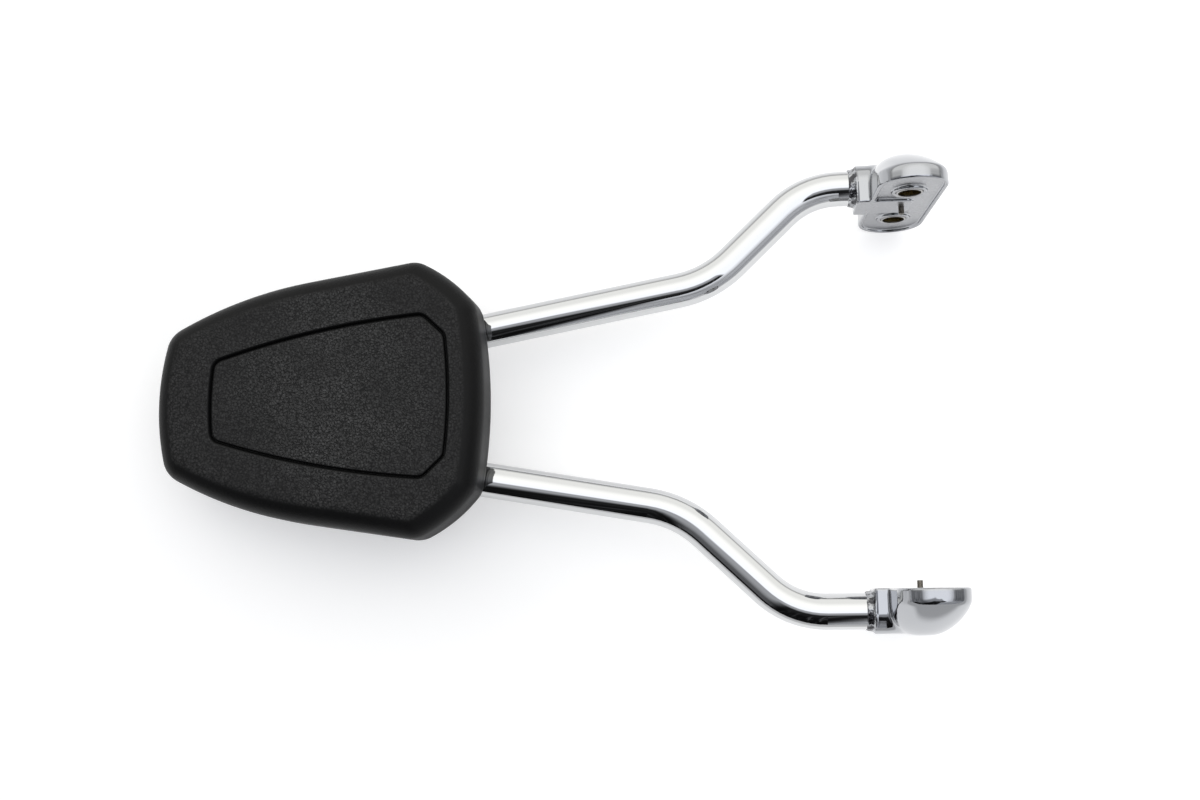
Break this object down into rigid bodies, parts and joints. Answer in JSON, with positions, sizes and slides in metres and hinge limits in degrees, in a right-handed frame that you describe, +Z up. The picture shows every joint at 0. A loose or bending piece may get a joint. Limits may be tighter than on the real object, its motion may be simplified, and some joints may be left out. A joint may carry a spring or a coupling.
{
  "type": "motorcycle sissy bar",
  "caption": "Chromed bent-tube back rest for a motorcycle passenger, with a moulded black pad on a hoop and legs that splay to cast mounting feet with brass-lined holes",
  "frame": {"origin": "bottom centre of the bounding box, on the surface that the part lies on", "axes": "+X runs along the bar from the pad to the feet, +Y to the rider's left, +Z up out of the pad's front as the part lies on a table"},
  "size_m": [0.4884, 0.2928, 0.1179],
  "materials": {
    "tube_chrome": "bright chrome plate on steel",
    "foot_chrome": "bright chrome plate on a casting, satin on the flat inner face",
    "bush_brass": "plain turned brass",
    "fixing_steel": "plain zinc-plated steel",
    "pad_skin": "black moulded skin with a fine leather grain",
    "base_plastic": "plain black plastic board"
  },
  "bodies": {
    "root": {"hoop_tube": "tube_chrome", "left_foot": "foot_chrome", "right_foot": "foot_chrome", "left_front_bush": "bush_brass", "left_rear_bush": "bush_brass", "right_front_bush": "bush_brass", "right_rear_bush": "bush_brass", "left_locating_pin": "fixing_steel", "right_locating_pin": "fixing_steel", "pad_cushion": "pad_skin", "pad_base_plate": "base_plastic", "upper_strap": "tube_chrome", "lower_strap": "tube_chrome", "pad_screws": "fixing_steel", "pad_washers": "fixing_steel", "pad_t_nuts": "fixing_steel"}
  },
  "joints": []
}
